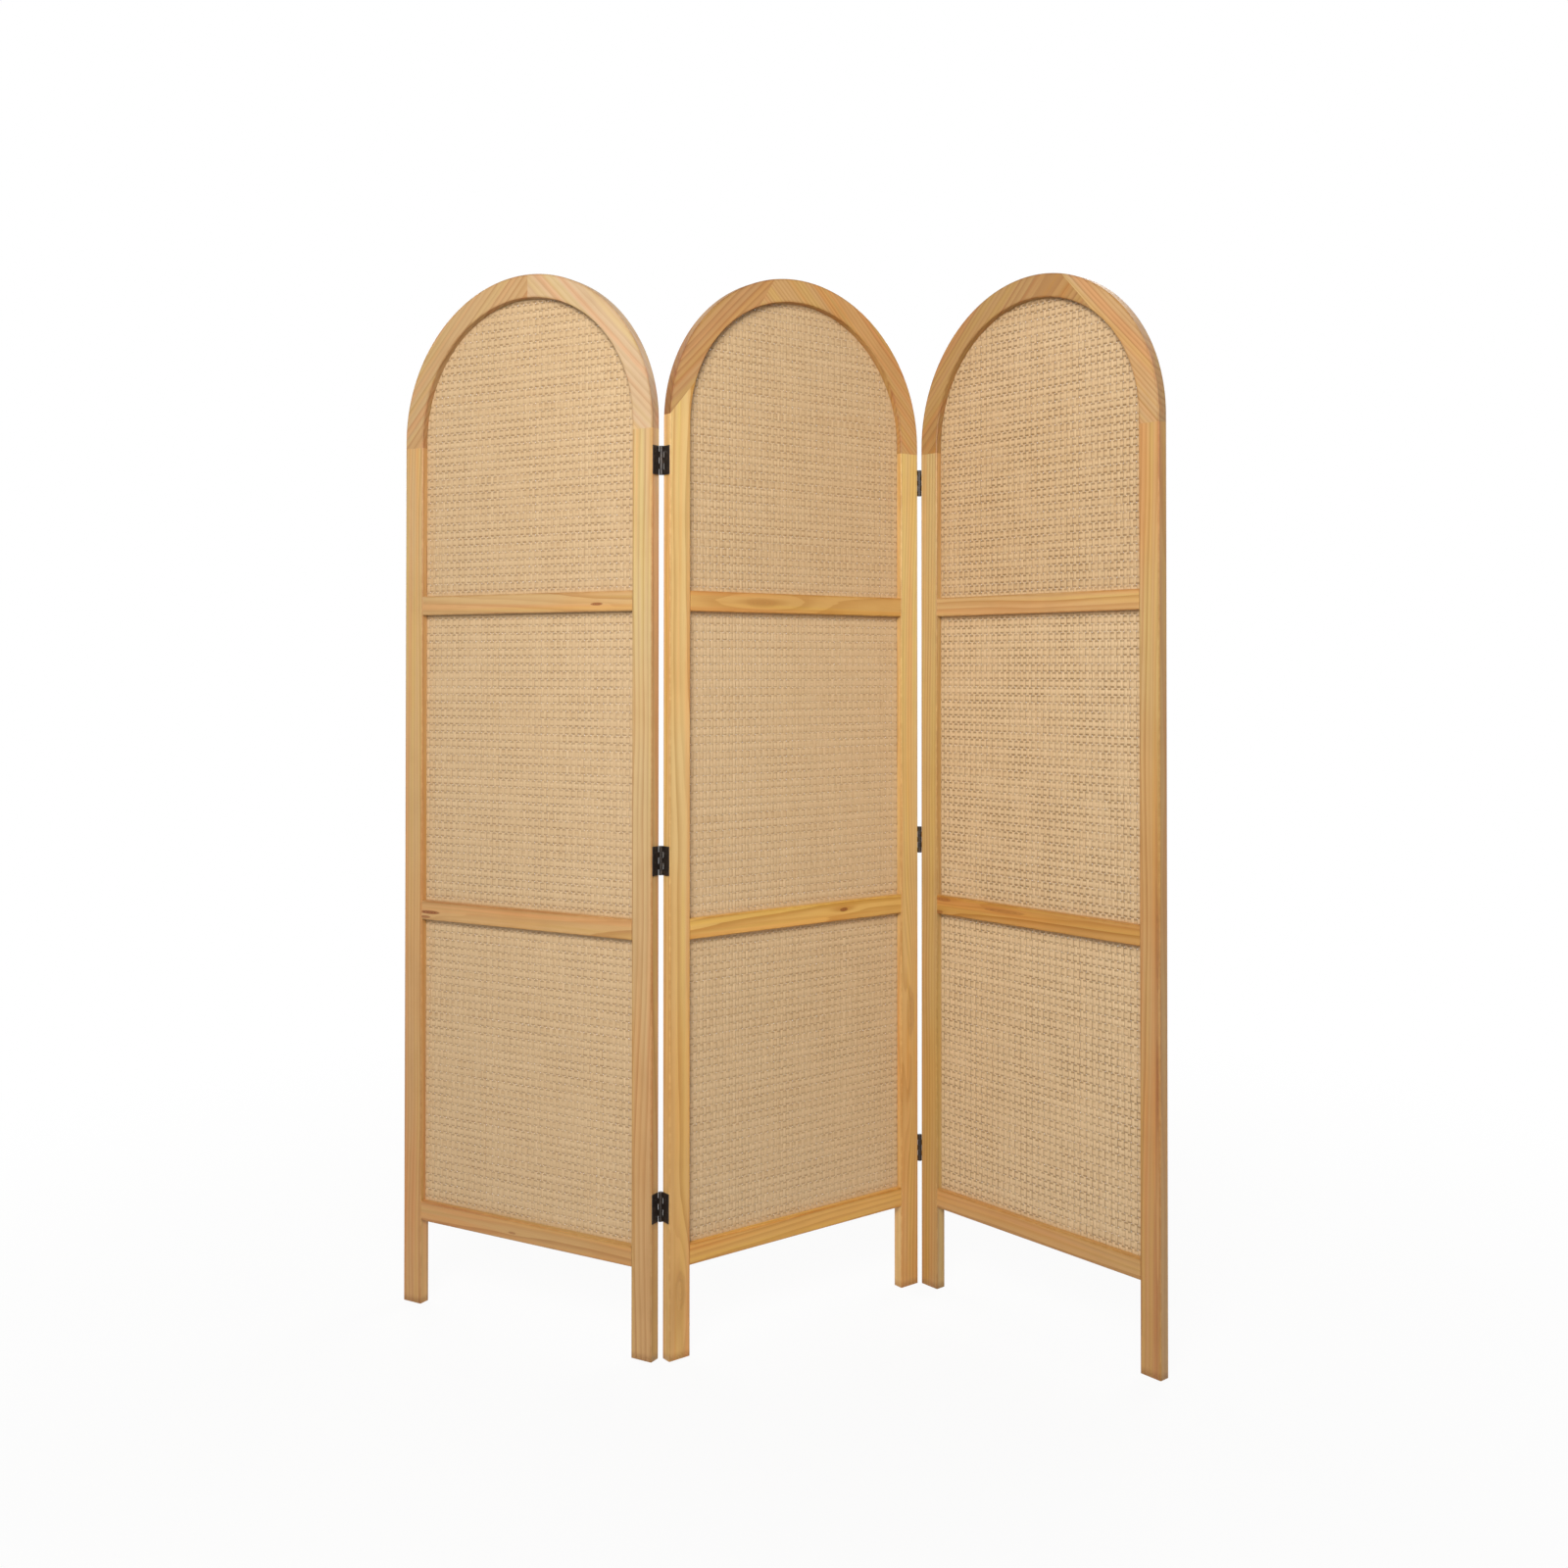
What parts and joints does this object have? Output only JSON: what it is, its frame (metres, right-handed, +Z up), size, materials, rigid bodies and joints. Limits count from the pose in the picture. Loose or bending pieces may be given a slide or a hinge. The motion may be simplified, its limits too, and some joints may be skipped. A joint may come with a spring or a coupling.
{
  "type": "folding screen",
  "caption": "Free-standing folding screen: arched pine frames with rails and woven cane webbing, joined edge to edge by black butt hinges.",
  "frame": {"origin": "on the floor, in the middle of the box round the screen's footprint as it stands zigzagged", "axes": "+Z up; +X to the right and +Y away from someone looking at the front of the screen"},
  "size_m": [1.2252, 0.3958, 1.7],
  "materials": {
    "pine_stile": "clear satin lacquer on pine, grain along the stile",
    "pine_arch": "clear satin lacquer on pine, grain diagonal to the arch",
    "pine_rail": "clear satin lacquer on pine, grain along the rail",
    "pine_bead": "clear satin lacquer on pine",
    "beech_dowel": "raw",
    "cane_webbing": "natural split rattan, woven, matt",
    "hinge_leaf": "black satin paint",
    "hinge_pin": "black satin paint",
    "hinge_screw": "black satin paint"
  },
  "bodies": {
    "centre_panel": {"centre_arch_left": "pine_arch", "centre_arch_right": "pine_arch", "centre_beads_bottom": "pine_bead", "centre_beads_middle": "pine_bead", "centre_beads_top": "pine_bead", "centre_dowels": "beech_dowel", "centre_rail_bottom": "pine_rail", "centre_rail_middle": "pine_rail", "centre_rail_top": "pine_rail", "centre_stile_left": "pine_stile", "centre_stile_right": "pine_stile", "centre_webbing_bottom": "cane_webbing", "centre_webbing_middle": "cane_webbing", "centre_webbing_top": "cane_webbing", "left_hinge_bottom_leaf_centre": "hinge_leaf", "left_hinge_middle_leaf_centre": "hinge_leaf", "left_hinge_pins": "hinge_pin", "left_hinge_screws_centre": "hinge_screw", "left_hinge_top_leaf_centre": "hinge_leaf", "right_hinge_bottom_leaf_centre": "hinge_leaf", "right_hinge_middle_leaf_centre": "hinge_leaf", "right_hinge_pins": "hinge_pin", "right_hinge_screws_centre": "hinge_screw", "right_hinge_top_leaf_centre": "hinge_leaf"},
    "left_panel": {"left_arch_left": "pine_arch", "left_arch_right": "pine_arch", "left_beads_bottom": "pine_bead", "left_beads_middle": "pine_bead", "left_beads_top": "pine_bead", "left_dowels": "beech_dowel", "left_hinge_bottom_leaf_left": "hinge_leaf", "left_hinge_middle_leaf_left": "hinge_leaf", "left_hinge_screws_left": "hinge_screw", "left_hinge_top_leaf_left": "hinge_leaf", "left_rail_bottom": "pine_rail", "left_rail_middle": "pine_rail", "left_rail_top": "pine_rail", "left_stile_left": "pine_stile", "left_stile_right": "pine_stile", "left_webbing_bottom": "cane_webbing", "left_webbing_middle": "cane_webbing", "left_webbing_top": "cane_webbing"},
    "right_panel": {"right_arch_left": "pine_arch", "right_arch_right": "pine_arch", "right_beads_bottom": "pine_bead", "right_beads_middle": "pine_bead", "right_beads_top": "pine_bead", "right_dowels": "beech_dowel", "right_hinge_bottom_leaf_right": "hinge_leaf", "right_hinge_middle_leaf_right": "hinge_leaf", "right_hinge_screws_right": "hinge_screw", "right_hinge_top_leaf_right": "hinge_leaf", "right_rail_bottom": "pine_rail", "right_rail_middle": "pine_rail", "right_rail_top": "pine_rail", "right_stile_left": "pine_stile", "right_stile_right": "pine_stile", "right_webbing_bottom": "cane_webbing", "right_webbing_middle": "cane_webbing", "right_webbing_top": "cane_webbing"}
  },
  "joints": [
    {"name": "left_fold", "type": "hinge", "parent": "centre_panel", "child": "left_panel", "pos_m": [-0.15564, -0.1191, 0.766], "axis": [0, 0, 1], "range_deg": [-112.8, 67.2]},
    {"name": "right_fold", "type": "hinge", "parent": "centre_panel", "child": "right_panel", "pos_m": [0.26038, 0.18512, 0.766], "axis": [0, 0, 1], "range_deg": [-93, 87]}
  ]
}
